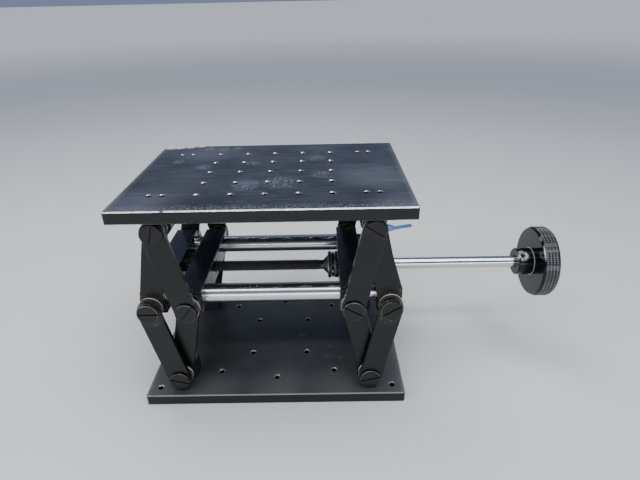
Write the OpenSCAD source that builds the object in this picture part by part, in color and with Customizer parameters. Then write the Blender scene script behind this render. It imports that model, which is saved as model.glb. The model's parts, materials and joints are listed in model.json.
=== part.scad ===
// Lab jack: a table held level over a base by a double scissors at each end.
// Turning the knob draws two sliding carriages together, which moves the table.
// X runs along the screw towards the knob, Y to the back, Z up.
// The origin is the middle of the base's underside. All sizes are millimetres.

/* [Plates] */
// Length of both plates, along the screw
plate_l = 218; // [212:1:240]
// Width of both plates
plate_w = 158; // [150:1:180]
// Thickness of both plates
plate_t = 10; // [9:0.5:14]
// Radius of the plates' upright corners
plate_corner_r = 2; // [1:0.5:5]
// Width of the bevel round both faces of a plate
plate_bevel = 0.8; // [0.4:0.1:1.5]

/* [Holes in the plates] */
// Distance between the tapped holes
hole_pitch = 25; // [20:0.5:25]
// Number of tapped holes along each side of the table's grid
hole_count = 5; // [3:2:5]
// Core diameter of a tapped hole
tap_d = 4.2; // [3.2:0.1:5]
// Width of the countersink round the mouth of a tapped hole or a bolt hole
countersink = 0.7; // [0.3:0.1:1]
// Distance from the middle of the base to the single hole near each long edge
lone_hole_y = 58; // [56:0.5:64]
// Diameter of the base's four bolt holes
foot_hole_d = 4.5; // [4:0.1:9]
// Distance from the base's edges to the middle of its bolt holes
foot_hole_inset = 10; // [8:0.5:11]
// Width of the countersink round the mouth of a fixing screw's hole
mouth_countersink = 0.4; // [0.2:0.1:0.8]

/* [Links] */
// Distance between a link's two holes
link_reach = 70; // [66:1:80]
// Width of a link, which is also the diameter of its round ends
link_w = 18; // [16:0.5:19]
// Thickness of a link
link_t = 4.2; // [3.6:0.1:7]
// Lean of the links from upright, which sets the table's height
lean = 12.2; // [11:0.1:45]
// Gap between the rims of the spacer washers and the plate
washer_plate_gap = 1.1; // [0.5:0.1:3.3]
// Distance from a plate's short edges to its pivots
pivot_inset = 29; // [26:0.5:32]

/* [Pivots] */
// Diameter of a pivot screw's shoulder, on which the links turn
pivot_d = 10; // [8:0.5:12]
// Diameter of a pivot screw's thread
pivot_thread_d = 8; // [5:0.5:8]
// Diameter of a pivot screw's head
head_d = 16.8; // [15:0.1:19]
// Thickness of a pivot screw's head
head_t = 2; // [1.6:0.1:3]
// Width of the screwdriver slot in the head
slot_w = 1.2; // [1:0.1:2.4]
// Depth of the screwdriver slot
slot_depth = 1.2; // [0.6:0.1:1.4]
// Thickness of a spacer washer
washer_t = 3.3; // [0.3:0.1:4]
// Diameter of the wide spacer washers between the links, at the base and at half height
wide_washer_d = 19.4; // [18.5:0.1:24]
// Diameter of the other spacer washers, which the links' round ends hide
washer_d = 16; // [14.5:0.5:17.5]
// Distance from the plates' long edges in to the screw heads
head_inset = 4.8; // [4:0.1:8]

/* [Brackets] */
// Width of a pivot bracket, along the screw
bracket_w = 20; // [18:0.5:24]
// Length of a pivot bracket, across the plate
bracket_l = 14; // [12:0.5:20]
// Distance between a bracket's two fixing screws
bracket_screw_pitch = 10; // [9:0.5:12]
// Thread diameter of a fixing screw
fixing_d = 2.5; // [2:0.1:3.2]
// Head diameter of a fixing screw
fixing_head_d = 4.5; // [4:0.1:6]
// Head height of a fixing screw
fixing_head_t = 2.5; // [2:0.1:3.5]
// Length of a fixing screw inside its bracket
fixing_grip = 7; // [5:0.5:7.5]

/* [Cross bars] */
// Height and width of a cross bar's square section
bar_s = 20; // [19:0.5:22]
// Width of the bevel along a cross bar's edges
bar_bevel = 0.6; // [0.3:0.1:1]

/* [Guide rods] */
// Diameter of a guide rod
rod_d = 16; // [12:0.5:16.5]
// Length of a guide rod
rod_l = 205; // [195:1:215]
// Metal between a guide rod's bore and the end of its cross bar
rod_end_wall = 5; // [4:0.5:9]
// Width of the bevel at a guide rod's ends
rod_bevel = 1; // [0.5:0.1:2]

/* [Screw and nut] */
// Outer diameter of the lead screw's thread
screw_d = 10; // [8:0.5:11]
// Outer diameter of the drive nut
nut_d = 15; // [13.5:0.5:16]
// Diameter of the grub screw that holds the nut in its bar
nut_grub_d = 3; // [2.5:0.5:4]
// Diameter of the lead screw's far journal
tail_d = 8; // [5:0.5:8]
// Length of the lead screw's far journal
tail_l = 12; // [8:0.5:16]
// Length of the plain groove beside the thread
groove_l = 3.1; // [2:0.1:5]
// Depth of that groove
groove_depth = 0.8; // [0.4:0.1:1.2]
// Length of the cone that pushes on the thrust bearing
cone_l = 3.7; // [2.5:0.1:6]
// Diameter of the cone's wide end
cone_d = 17; // [14:0.5:20]

/* [Thrust bearing] */
// Outer diameter of the thrust bearing
bearing_d = 24; // [22:0.5:27]
// Thickness of the whole thrust bearing
bearing_l = 9; // [8.5:0.1:11]
// Thickness of each of its two races
race_t = 3.2; // [2.8:0.1:3.4]
// Diameter of a ball
ball_d = 3.6; // [3.2:0.1:4]
// Number of balls
ball_count = 10; // [6:1:11]
// Thickness of the ball cage
cage_t = 1.8; // [1:0.1:1.8]
// Distance from the races' rim in to the cage's rim
cage_inset = 0.6; // [0.5:0.1:1.6]

/* [Shaft and knob] */
// Diameter of the drive shaft
shaft_d = 10; // [8:0.5:10]
// Bare length of the drive shaft, from its cross bar to the knob
shaft_l = 139.5; // [134:0.5:160]
// Diameter of the shaft's spigot inside the lead screw
spigot_d = 6; // [4:0.5:6]
// Length of that spigot
spigot_l = 16; // [12:0.5:22]
// Diameter of the pin that joins shaft and screw
pin_d = 2.5; // [2:0.1:3]
// Outer diameter of the shaft collar
collar_d = 20; // [18:0.5:24]
// Thickness of the shaft collar
collar_t = 4; // [3.4:0.1:4.2]
// Diameter of the collar's grub screw
collar_grub_d = 2; // [1.6:0.2:2.6]
// Diameter of the knob
knob_d = 62.5; // [55:0.5:70]
// Thickness of the knob's disc
knob_t = 14.3; // [12:0.1:18]
// Diameter of the knob's hub
hub_d = 23.7; // [21:0.1:27]
// Length of the knob's hub
hub_l = 13.5; // [12:0.1:18]
// Depth of the knob's bore, from the hub's face
knob_bore = 22; // [18:0.5:24]
// Width of the bevel on the knob's two rims
knob_bevel = 1.7; // [0.6:0.1:2.4]
// Diameter of the knob's set screw
set_screw_d = 5; // [4:0.5:6]
// Distance from the hub's face to the middle of the set screw
set_screw_place = 3.8; // [3.6:0.1:8]
// Angle of the knob's set screw above the front
set_screw_angle = 54; // [0:1:180]

/* [Lock lever] */
// Distance from the lever's hub to the end of its arm
lever_reach = 40; // [36:0.5:50]
// Thickness of the lever's hub
lever_hub_t = 6; // [5:0.5:8]
// Diameter of the lever's arm
lever_arm_d = 3.8; // [3:0.1:4.4]
// Length of the web that narrows from the hub to the arm
lever_web_l = 21.5; // [14:0.5:28]
// Angle of the arm below level
lever_droop = 3; // [0:1:30]
// Angle by which the arm is bent outwards
lever_crank = 22; // [0:1:30]

/* [Hidden] */

$fn = 64;
eps = 0.5;

// Running gap round a shaft in its bore, on the radius
fit = 0.05;
// Gap on each face of a link
play = 0.05;
// Gap round a screw or rod in a hole that it only passes through, on the radius
clear = 0.5;
left = -1;
right = 1;
front = -1;
back = 1;

pivot_x = plate_l / 2 - pivot_inset;
spread = link_reach * sin(lean);
outer_x = pivot_x + spread;
inner_x = pivot_x - spread;
pivot_rise = wide_washer_d / 2 + washer_plate_gap;
base_pivot_z = plate_t + pivot_rise;
mid_z = base_pivot_z + link_reach * cos(lean);
table_pivot_z = mid_z + link_reach * cos(lean);
table_z = table_pivot_z + pivot_rise;

head_out_y = plate_w / 2 - head_inset;
head_in_y = head_out_y - head_t;
outer_link_y = head_in_y - play - link_t;
mid_washer_y = outer_link_y - play - washer_t;
inner_link_y = mid_washer_y - play - link_t;
bar_end_y = inner_link_y - play - washer_t;
rod_y = bar_end_y - rod_end_wall - rod_d / 2;
bracket_y = bar_end_y - bracket_l / 2;

// Slot directions of the pivot screws, turned from upright towards the knob
base_slots = [[-75, 20], [75, -40]];
table_slots = [[15, 60], [-57, 10]];
carriage_a_slots = [[90, 35], [-60, 80]];
carriage_b_slots = [[40, -25], [60, 0]];
head_bevel = 0.4;
washer_gap = 0.1;

// Repeats its child on both long sides: front as drawn, back mirrored
module both_sides() {
    children();
    mirror([0, 1, 0]) children();
}

// A cylinder that runs along X
module along_x(d, x0, x1) {
    translate([x0, 0, 0]) rotate([0, 90, 0]) cylinder(d = d, h = x1 - x0);
}

// A cylinder that runs along Y, from y0 to y1
module along_y(d, y0, y1) {
    translate([0, y0, 0]) rotate([-90, 0, 0]) cylinder(d = d, h = y1 - y0);
}

module rounded_rectangle(l, w, r) {
    square([l - 2 * r, w], center = true);
    square([l, w - 2 * r], center = true);
    for (x = [left, right], y = [front, back])
        translate([x * (l / 2 - r), y * (w / 2 - r)]) circle(r);
}

// Rectangle whose four corners are cut at 45 degrees
module bevelled_rectangle(l, h, b) {
    polygon([
        [-l / 2 + b, -h / 2], [l / 2 - b, -h / 2], [l / 2, -h / 2 + b], [l / 2, h / 2 - b],
        [l / 2 - b, h / 2], [-l / 2 + b, h / 2], [-l / 2, h / 2 - b], [-l / 2, -h / 2 + b]
    ]);
}

module plate_blank() {
    translate([0, 0, plate_t / 2]) intersection() {
        linear_extrude(plate_t, center = true)
            rounded_rectangle(plate_l, plate_w, plate_corner_r);
        rotate([90, 0, 0]) linear_extrude(plate_w, center = true)
            bevelled_rectangle(plate_l, plate_t, plate_bevel);
        rotate([90, 0, 90]) linear_extrude(plate_l, center = true)
            bevelled_rectangle(plate_w, plate_t, plate_bevel);
    }
}

// Countersink of width w round the mouth of a hole whose face is at z = 0
module mouth(d, w) {
    translate([0, 0, -w]) cylinder(d1 = d, d2 = d + 2 * w, h = w);
    cylinder(d = d + 2 * w, h = eps);
}

// A hole right through a plate, with a countersunk mouth on top
module plate_hole(d, w) {
    translate([0, 0, -eps]) cylinder(d = d, h = plate_t + 2 * eps);
    translate([0, 0, plate_t]) mouth(d, w);
}

module tapped_hole() {
    plate_hole(tap_d, countersink);
}

// Puts its child at the two fixing screws of each bracket
module at_fixings() {
    for (x = [left, right], y = [front, back], side = [left, right])
        translate([x * pivot_x + side * bracket_screw_pitch / 2, y * bracket_y, 0]) children();
}

// Depth of the fixing screws' heads under the plate's face, and their gap in the hole
head_recess = 0.4;
fixing_sink = fixing_head_t + head_recess;
fixing_clear = 0.15;
// Hexagon socket's width over a fixing screw's thread, and its depth over the head's height
socket_width_share = 0.95;
socket_depth_share = 0.55;

// Counterbored hole of a fixing screw, entered from below the plate
module fixing_hole() {
    counterbore_d = fixing_head_d + 2 * fixing_clear;
    translate([0, 0, -eps]) cylinder(d = fixing_d + 2 * fixing_clear, h = plate_t + 2 * eps);
    translate([0, 0, -eps]) cylinder(d = counterbore_d, h = fixing_sink + eps);
    mirror([0, 0, 1]) mouth(counterbore_d, mouth_countersink);
}

// Socket head fixing screw, with its head at the bottom
module fixing_screw() {
    socket_depth = fixing_head_t * socket_depth_share;
    translate([0, 0, fixing_sink - fixing_head_t]) difference() {
        union() {
            cylinder(d = fixing_head_d, h = fixing_head_t);
            cylinder(d = fixing_d, h = fixing_head_t + plate_t - fixing_sink + fixing_grip);
        }
        translate([0, 0, -eps])
            cylinder(d = fixing_d * socket_width_share, h = socket_depth + eps, $fn = 6);
    }
}

// Block that holds one pivot, standing on a plate at z = 0
module bracket_blank() {
    difference() {
        rotate([90, 0, 0]) linear_extrude(bracket_l, center = true) {
            translate([-bracket_w / 2, 0]) square([bracket_w, pivot_rise]);
            translate([0, pivot_rise]) circle(d = bracket_w);
        }
        translate([0, 0, pivot_rise])
            along_y(pivot_thread_d, -bracket_l / 2 - eps, -bracket_l / 2 + rod_end_wall);
        for (side = [left, right])
            translate([side * bracket_screw_pitch / 2, 0, -eps])
                cylinder(d = fixing_d, h = fixing_grip + eps);
    }
}

// The front and back brackets at one end of a plate
module bracket_pair(x) {
    both_sides() translate([x, -bracket_y, 0]) bracket_blank();
}

// Turns what is drawn for the base upside down for the table
module on_table() {
    translate([0, 0, table_z + plate_t]) mirror([0, 0, 1]) children();
}

// Pivot screw with its shoulder's foot at y = 0 and its head towards the front
module pivot_screw(slot) {
    shoulder_l = head_in_y - bar_end_y;
    difference() {
        union() {
            along_y(pivot_thread_d, -eps, rod_end_wall - eps);
            along_y(pivot_d, -shoulder_l - eps, 0);
            rotate([90, 0, 0]) {
                translate([0, 0, shoulder_l]) cylinder(d = head_d, h = head_t - head_bevel);
                translate([0, 0, shoulder_l + head_t - head_bevel])
                    cylinder(d1 = head_d, d2 = head_d - 2 * head_bevel, h = head_bevel);
            }
        }
        rotate([0, slot, 0])
            translate([-slot_w / 2, -shoulder_l - head_t - eps, -head_d / 2 - eps])
                cube([slot_w, slot_depth + eps, head_d + 2 * eps]);
    }
}

// Puts a pivot screw at x, z on the front and another on the back
module pivot_screw_pair(x, z, slots) {
    translate([x, -bar_end_y, z]) pivot_screw(slots[0]);
    mirror([0, 1, 0]) translate([x, -bar_end_y, z]) pivot_screw(slots[1]);
}

module washer(d, y) {
    difference() {
        along_y(d, -y - washer_t, -y);
        along_y(pivot_d + 2 * washer_gap, -y - washer_t - eps, -y + eps);
    }
}

// The spacers at x, z: one against the bar or bracket, another between the links
module washer_set(x, z, between_d) {
    both_sides() translate([x, 0, z]) {
        washer(washer_d, bar_end_y);
        washer(between_d, mid_washer_y);
    }
}

// Flat link with round ends, drawn upwards from its lower hole
module link_blank() {
    difference() {
        rotate([90, 0, 0]) linear_extrude(link_t) {
            circle(d = link_w);
            translate([0, link_reach]) circle(d = link_w);
            translate([-link_w / 2, 0]) square([link_w, link_reach]);
        }
        for (z = [0, link_reach])
            translate([0, 0, z]) along_y(pivot_d + 2 * fit, -link_t - eps, eps);
    }
}

// A link from its lower hole at x, z, leaning by an angle towards the knob, in the
// layer whose inner face is at y, on the front (-1) or back (1) side
module link(side, x, z, angle, y) {
    mirror([0, side == back ? 1 : 0, 0])
        translate([x, -y, z]) rotate([0, angle, 0]) link_blank();
}

module lower_outer_link(side, end) {
    link(side, end * pivot_x, base_pivot_z, end * lean, outer_link_y);
}

module lower_inner_link(side, end) {
    link(side, end * pivot_x, base_pivot_z, -end * lean, inner_link_y);
}

module upper_outer_link(side, end) {
    link(side, end * outer_x, mid_z, -end * lean, inner_link_y);
}

module upper_inner_link(side, end) {
    link(side, end * inner_x, mid_z, end * lean, outer_link_y);
}

// Depth by which a pivot screw's hole runs into the curved side of a rod's bore
bore_overlap = 4;

// Square cross bar with a pivot hole in each end and two rod bores of given sizes
module cross_bar(x, front_bore, back_bore, middle_bore) {
    translate([x, 0, mid_z]) difference() {
        rotate([90, 0, 0]) linear_extrude(2 * bar_end_y, center = true)
            bevelled_rectangle(bar_s, bar_s, bar_bevel);
        both_sides() along_y(pivot_thread_d, -bar_end_y - eps, -bar_end_y + rod_end_wall + bore_overlap);
        translate([0, -rod_y, 0]) along_x(front_bore, -bar_s, bar_s);
        translate([0, rod_y, 0]) along_x(back_bore, -bar_s, bar_s);
        if (middle_bore > 0) along_x(middle_bore, -bar_s, bar_s);
    }
}

rod_slide_d = rod_d + 2 * fit;
rod_clear_d = rod_d + 2 * clear;

// Guide rod drawn from x = 0, with both ends bevelled
module rod_blank() {
    rotate([0, 90, 0]) rotate_extrude() polygon([
        [0, 0], [rod_d / 2 - rod_bevel, 0], [rod_d / 2, rod_bevel],
        [rod_d / 2, rod_l - rod_bevel], [rod_d / 2 - rod_bevel, rod_l], [0, rod_l]
    ]);
}

// Depth by which a guide rod's fixed end lies inside its bar's outer face
rod_sink = 0.5;

module guide_rod(side, end) {
    translate([end * (outer_x + bar_s / 2 - rod_sink), side * rod_y, mid_z])
        rotate([0, 0, end == left ? 0 : 180]) rod_blank();
}

// Grub screw along Z, its top at z = 0, with a hexagon socket of half its width and length
module grub_screw(d, l) {
    difference() {
        translate([0, 0, -l]) cylinder(d = d, h = l);
        translate([0, 0, -l / 2]) cylinder(d = d / 2, h = l, $fn = 6);
    }
}

// Stations along the screw: faces of the bars, bearing and cone
bar_face = inner_x - bar_s / 2;
bar_back = inner_x + bar_s / 2;
bearing_x = bar_face - bearing_l;
cone_x = bearing_x - cone_l;
groove_x = cone_x - groove_l;
thread_x = -outer_x + bar_s / 2 + clear;
tail_bore_l = tail_l + 2 * clear;

// Grub screw of the nut: its share of the nut's wall, and its depth under the bar's top
nut_grub_share = 0.6;
grub_sink = 0.3;
nut_grub_depth = nut_grub_share * ((nut_d - screw_d) / 2 - fit);
nut_grub_l = (bar_s - nut_d) / 2 + nut_grub_depth - grub_sink;

module base_plate() color("#17191b") difference() {
    plate_blank();
    for (x = [left, right], y = [front, back]) {
        for (n = [1, 2]) translate([x * n * hole_pitch, y * n * hole_pitch, 0]) tapped_hole();
        translate([x * (plate_l / 2 - foot_hole_inset), y * (plate_w / 2 - foot_hole_inset), 0])
            plate_hole(foot_hole_d, countersink);
    }
    for (y = [front, back]) translate([0, y * lone_hole_y, 0]) tapped_hole();
    at_fixings() fixing_hole();
}

module base_brackets(end) color("#1d1f21") translate([0, 0, plate_t]) bracket_pair(end * pivot_x);

module base_fixing_screws() color("#2a2a2c") at_fixings() fixing_screw();

module base_pivot_screws() color("#1b1c1e") {
    pivot_screw_pair(-pivot_x, base_pivot_z, base_slots[0]);
    pivot_screw_pair(pivot_x, base_pivot_z, base_slots[1]);
}

module base_washers() color("#b9b7b0") for (x = [-pivot_x, pivot_x])
    washer_set(x, base_pivot_z, wide_washer_d);

module table_plate() color("#17191b") difference() {
    translate([0, 0, table_z]) plate_blank();
    for (i = [0 : hole_count - 1], j = [0 : hole_count - 1])
        translate([
            (i - (hole_count - 1) / 2) * hole_pitch, (j - (hole_count - 1) / 2) * hole_pitch, table_z
        ]) tapped_hole();
    on_table() at_fixings() fixing_hole();
}

module table_brackets(end) color("#1d1f21")
    on_table() translate([0, 0, plate_t]) bracket_pair(end * pivot_x);

module table_fixing_screws() color("#2a2a2c") on_table() at_fixings() fixing_screw();

module table_pivot_screws() color("#1b1c1e") {
    pivot_screw_pair(-pivot_x, table_pivot_z, table_slots[0]);
    pivot_screw_pair(pivot_x, table_pivot_z, table_slots[1]);
}

module table_washers() color("#b9b7b0") for (x = [-pivot_x, pivot_x])
    washer_set(x, table_pivot_z, washer_d);

module outer_bar_left() color("#1d1f21") difference() {
    cross_bar(-outer_x, rod_d, rod_clear_d, 0);
    translate([0, 0, mid_z])
        along_x(tail_d + 2 * fit, thread_x - clear - tail_bore_l, thread_x + eps);
}

module inner_bar_right() color("#1d1f21")
    cross_bar(inner_x, rod_d, rod_slide_d, screw_d + 2 * fit);

module front_guide_rod() color("#c9cccf") guide_rod(front, left);

module carriage_a_pivot_screws() color("#1b1c1e") {
    pivot_screw_pair(-outer_x, mid_z, carriage_a_slots[0]);
    pivot_screw_pair(inner_x, mid_z, carriage_a_slots[1]);
}

module carriage_a_washers() color("#b9b7b0") for (x = [-outer_x, inner_x])
    washer_set(x, mid_z, wide_washer_d);

module inner_bar_left() color("#1d1f21") difference() {
    cross_bar(-inner_x, rod_slide_d, rod_d, nut_d);
    translate([-inner_x, 0, mid_z]) cylinder(d = nut_grub_d, h = bar_s);
}

module outer_bar_right() color("#1d1f21")
    cross_bar(outer_x, rod_clear_d, rod_d, shaft_d + 2 * clear);

module back_guide_rod() color("#c9cccf") guide_rod(back, right);

module carriage_b_pivot_screws() color("#1b1c1e") {
    pivot_screw_pair(-inner_x, mid_z, carriage_b_slots[0]);
    translate([outer_x, -bar_end_y, mid_z]) pivot_screw(carriage_b_slots[1][0]);
}

module carriage_b_washers() color("#b9b7b0") for (x = [-inner_x, outer_x])
    washer_set(x, mid_z, wide_washer_d);

module drive_nut() color("#9a7b45") translate([-inner_x, 0, mid_z]) difference() {
    along_x(nut_d, -bar_s / 2, bar_s / 2);
    along_x(screw_d + 2 * fit, -bar_s / 2 - eps, bar_s / 2 + eps);
    translate([0, 0, nut_d / 2 - nut_grub_depth]) cylinder(d = nut_grub_d, h = nut_d);
}

module nut_grub_screw() color("#8b8d8f")
    translate([-inner_x, 0, mid_z + nut_d / 2 - nut_grub_depth + nut_grub_l])
        grub_screw(nut_grub_d, nut_grub_l);

// Stud in place of the back pivot screw at the knob's end: the lever clamps on it
lever_y = head_in_y + play;
stud_nose = 1;

module lock_stud() color("#8b8d8f") translate([outer_x, 0, mid_z]) {
    along_y(pivot_thread_d, bar_end_y - rod_end_wall + eps, bar_end_y + eps);
    along_y(pivot_d, bar_end_y, head_in_y - play);
    along_y(pivot_thread_d, head_in_y - play - eps, lever_y + lever_hub_t + stud_nose);
}

// Lever with a round hub, a web that narrows to the arm, and an arm bent outwards
module lock_lever() color("#a9c3e6") translate([outer_x, lever_y, mid_z]) rotate([0, lever_droop, 0]) {
    arm_l = (lever_reach - lever_web_l) / cos(lever_crank);
    difference() {
        union() {
            along_y(head_d, 0, lever_hub_t);
            rotate([90, 0, 0]) translate([0, 0, -lever_hub_t / 2 - lever_arm_d / 2])
                linear_extrude(lever_arm_d) polygon([
                    [0, head_d / 2], [lever_web_l, lever_arm_d / 2],
                    [lever_web_l, -lever_arm_d / 2], [0, -head_d / 2]
                ]);
        }
        along_y(pivot_thread_d + 2 * fit, -eps, lever_hub_t + eps);
    }
    translate([lever_web_l, lever_hub_t / 2, 0]) rotate([0, 0, lever_crank]) {
        along_x(lever_arm_d, 0, arm_l);
        sphere(d = lever_arm_d);
        translate([arm_l, 0, 0]) sphere(d = lever_arm_d);
    }
}

module lead_screw() color("#232323") translate([0, 0, mid_z]) difference() {
    union() {
        along_x(tail_d, thread_x - clear - tail_l, thread_x + eps);
        along_x(screw_d, thread_x, groove_x);
        along_x(screw_d - 2 * groove_depth, groove_x - eps, cone_x + eps);
        translate([cone_x, 0, 0]) rotate([0, 90, 0]) cylinder(d1 = screw_d, d2 = cone_d, h = cone_l);
        along_x(screw_d, bearing_x - eps, bar_back);
    }
    along_x(spigot_d, bar_back - spigot_l - eps, bar_back + eps);
    translate([bar_back - spigot_l / 2, 0, 0]) cylinder(d = pin_d, h = 2 * screw_d, center = true);
}

module drive_shaft() color("#d3d5d6") translate([0, 0, mid_z]) difference() {
    union() {
        along_x(spigot_d, bar_back - spigot_l, bar_back + eps);
        along_x(shaft_d, bar_back, bar_back + shaft_l + knob_bore - eps);
    }
    translate([bar_back - spigot_l / 2, 0, 0]) cylinder(d = pin_d, h = 2 * screw_d, center = true);
}

module shaft_pin() color("#8b8d8f") translate([bar_back - spigot_l / 2, 0, mid_z])
    cylinder(d = pin_d, h = screw_d - 2 * grub_sink, center = true);

// Radial grub screw of the collar, from its rim to the shaft
collar_x = bar_back + washer_gap;
collar_grub_l = (collar_d - shaft_d) / 2 - grub_sink;

module shaft_collar() color("#202122") translate([collar_x, 0, mid_z]) difference() {
    along_x(collar_d, 0, collar_t);
    along_x(shaft_d, -eps, collar_t + eps);
    translate([collar_t / 2, 0, 0]) cylinder(d = collar_grub_d, h = collar_d);
}

module collar_grub_screw() color("#8b8d8f")
    translate([collar_x + collar_t / 2, 0, mid_z + shaft_d / 2 + collar_grub_l])
        grub_screw(collar_grub_d, collar_grub_l);

// Middle circle of the balls, halfway across the ring between bore and cage rim
cage_out_r = bearing_d / 2 - cage_inset;
cage_in_r = screw_d / 2 + 2 * clear;
ball_ring_r = (cage_in_r + cage_out_r) / 2;
ball_gap = 0.03;
ball_x = bearing_x + bearing_l / 2;

// Race from x0 to x0 + race_t, with a bore and the balls' groove
module race(x0, bore) translate([0, 0, mid_z]) difference() {
    along_x(bearing_d, x0, x0 + race_t);
    along_x(bore, x0 - eps, x0 + race_t + eps);
    translate([ball_x, 0, 0]) rotate([0, 90, 0]) rotate_extrude()
        translate([ball_ring_r, 0]) circle(d = ball_d + 2 * ball_gap);
}

module screw_side_race() color("#bfc1c2") race(bearing_x, screw_d);

module bar_side_race() color("#bfc1c2") race(bar_face - race_t, screw_d + 2 * clear);

module at_balls() translate([ball_x, 0, mid_z])
    for (i = [0 : ball_count - 1]) rotate([i * 360 / ball_count, 0, 0])
        translate([0, 0, ball_ring_r]) children();

module ball_cage() color("#b09455") difference() {
    translate([ball_x, 0, mid_z]) along_x(2 * cage_out_r, -cage_t / 2, cage_t / 2);
    translate([ball_x, 0, mid_z]) along_x(2 * cage_in_r, -cage_t, cage_t);
    at_balls() along_x(ball_d + 2 * ball_gap, -cage_t, cage_t);
}

module bearing_balls() color("#e2e3e4") at_balls() sphere(d = ball_d);

knob_x = bar_back + shaft_l;
set_screw_x = knob_x + set_screw_place;
set_screw_sink = 0.8;
set_screw_l = (hub_d - shaft_d) / 2 - set_screw_sink;

// The set screw's place: its child's Z runs out of the hub
module at_set_screw() translate([set_screw_x, 0, mid_z])
    rotate([90 - set_screw_angle, 0, 0]) children();

// Half section of the knob: the hub, then the disc with a bevel on both rims
module knob_profile() polygon([
    [0, 0], [hub_d / 2, 0], [hub_d / 2, hub_l],
    [knob_d / 2 - knob_bevel, hub_l], [knob_d / 2, hub_l + knob_bevel],
    [knob_d / 2, hub_l + knob_t - knob_bevel], [knob_d / 2 - knob_bevel, hub_l + knob_t],
    [0, hub_l + knob_t]
]);

module knob() color("#161718") difference() {
    translate([knob_x, 0, mid_z]) rotate([0, 90, 0]) rotate_extrude() knob_profile();
    translate([0, 0, mid_z]) along_x(shaft_d, knob_x - eps, knob_x + knob_bore);
    at_set_screw() cylinder(d = set_screw_d, h = hub_d);
}

module knob_set_screw() color("#8b8d8f") at_set_screw()
    translate([0, 0, shaft_d / 2 + set_screw_l]) grub_screw(set_screw_d, set_screw_l);

base_plate();
base_brackets(left);  // base_brackets_left
base_brackets(right);  // base_brackets_right
base_fixing_screws();
base_pivot_screws();
base_washers();
table_plate();
table_brackets(left);  // table_brackets_left
table_brackets(right);  // table_brackets_right
table_fixing_screws();
table_pivot_screws();
table_washers();
for (s = [["front", front], ["back", back]], e = [["left", left], ["right", right]]) {
    color("#1a1c1e") lower_outer_link(s[1], e[1]);
    color("#1a1c1e") lower_inner_link(s[1], e[1]);
    color("#1a1c1e") upper_outer_link(s[1], e[1]);
    color("#1a1c1e") upper_inner_link(s[1], e[1]);
}
outer_bar_left();
inner_bar_right();
front_guide_rod();
carriage_a_pivot_screws();
carriage_a_washers();
inner_bar_left();
outer_bar_right();
back_guide_rod();
carriage_b_pivot_screws();
carriage_b_washers();
drive_nut();
nut_grub_screw();
lock_stud();
lock_lever();
lead_screw();
drive_shaft();
shaft_pin();
shaft_collar();
collar_grub_screw();
screw_side_race();
bar_side_race();
ball_cage();
bearing_balls();
knob();
knob_set_screw();
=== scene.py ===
# Lab jack on a pale studio floor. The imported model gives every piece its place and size;
# this script gives the pieces their finish, the screw its thread and the knob its knurl.
import json
import math

import bmesh
import bpy
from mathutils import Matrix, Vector


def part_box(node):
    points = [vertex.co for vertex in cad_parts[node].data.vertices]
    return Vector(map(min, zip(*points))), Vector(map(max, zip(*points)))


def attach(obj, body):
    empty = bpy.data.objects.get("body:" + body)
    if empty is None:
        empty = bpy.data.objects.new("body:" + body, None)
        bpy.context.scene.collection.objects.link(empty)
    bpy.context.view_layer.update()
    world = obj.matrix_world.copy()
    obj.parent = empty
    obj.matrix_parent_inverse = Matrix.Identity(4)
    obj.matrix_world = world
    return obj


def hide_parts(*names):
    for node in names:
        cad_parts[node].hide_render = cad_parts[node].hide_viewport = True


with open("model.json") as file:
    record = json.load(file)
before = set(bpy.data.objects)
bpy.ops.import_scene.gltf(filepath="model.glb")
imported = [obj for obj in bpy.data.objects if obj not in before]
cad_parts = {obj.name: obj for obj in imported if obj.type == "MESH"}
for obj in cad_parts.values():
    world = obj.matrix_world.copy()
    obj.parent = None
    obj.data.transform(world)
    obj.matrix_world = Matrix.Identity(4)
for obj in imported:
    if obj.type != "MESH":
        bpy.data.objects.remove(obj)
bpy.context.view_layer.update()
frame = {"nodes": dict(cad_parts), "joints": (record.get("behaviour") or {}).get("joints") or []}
MM = 0.001

# Studio. The camera stands in front and a little to the right, and looks down on the jack.
# A white floor, a pale blue-grey surround and four soft lamps stand in for a plain studio.
photo_width = 640
focal_length_px = 479.1
sensor_width = 36
# The camera's place in metres and its turn in degrees
camera_place = (0.04361, -0.37728, 0.30745)
camera_tilt = (62.864, 1.142, 0.033)

camera_data = bpy.data.cameras.new("camera")
camera_data.sensor_width = sensor_width
camera_data.lens = focal_length_px / photo_width * sensor_width
camera_data.clip_start = 0.01
camera = bpy.data.objects.new("camera", camera_data)
camera.location = camera_place
camera.rotation_euler = [math.radians(angle) for angle in camera_tilt]
bpy.context.scene.collection.objects.link(camera)
bpy.context.scene.camera = camera


def rgb(hex_code):
    """An sRGB hex colour as the linear colour that a shader takes"""
    channels = [int(hex_code[i:i + 2], 16) / 255 for i in (1, 3, 5)]
    return [c / 12.92 if c <= 0.04045 else ((c + 0.055) / 1.055) ** 2.4 for c in channels] + [1]


def node(tree, kind, values=None, links=None, **options):
    """A new shader node with its options, its sockets' values and its incoming links"""
    made = tree.nodes.new("ShaderNode" + kind)
    for name, value in options.items():
        setattr(made, name, value)
    for socket, value in (values or {}).items():
        made.inputs[socket].default_value = value
    for socket, source in (links or {}).items():
        tree.links.new(source, made.inputs[socket])
    return made


def new_material(name):
    """An empty material and its node tree"""
    made = bpy.data.materials.new(name)
    made.use_nodes = True
    made.node_tree.nodes.clear()
    return made, made.node_tree


def set_surface(tree, values, links):
    """Ends a material with its shader"""
    shader = node(tree, "BsdfPrincipled", values, links)
    node(tree, "OutputMaterial", links={"Surface": shader.outputs[0]})


def new_object(name, mesh):
    """A new object in the scene"""
    made = bpy.data.objects.new(name, mesh)
    bpy.context.scene.collection.objects.link(made)
    return made


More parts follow.
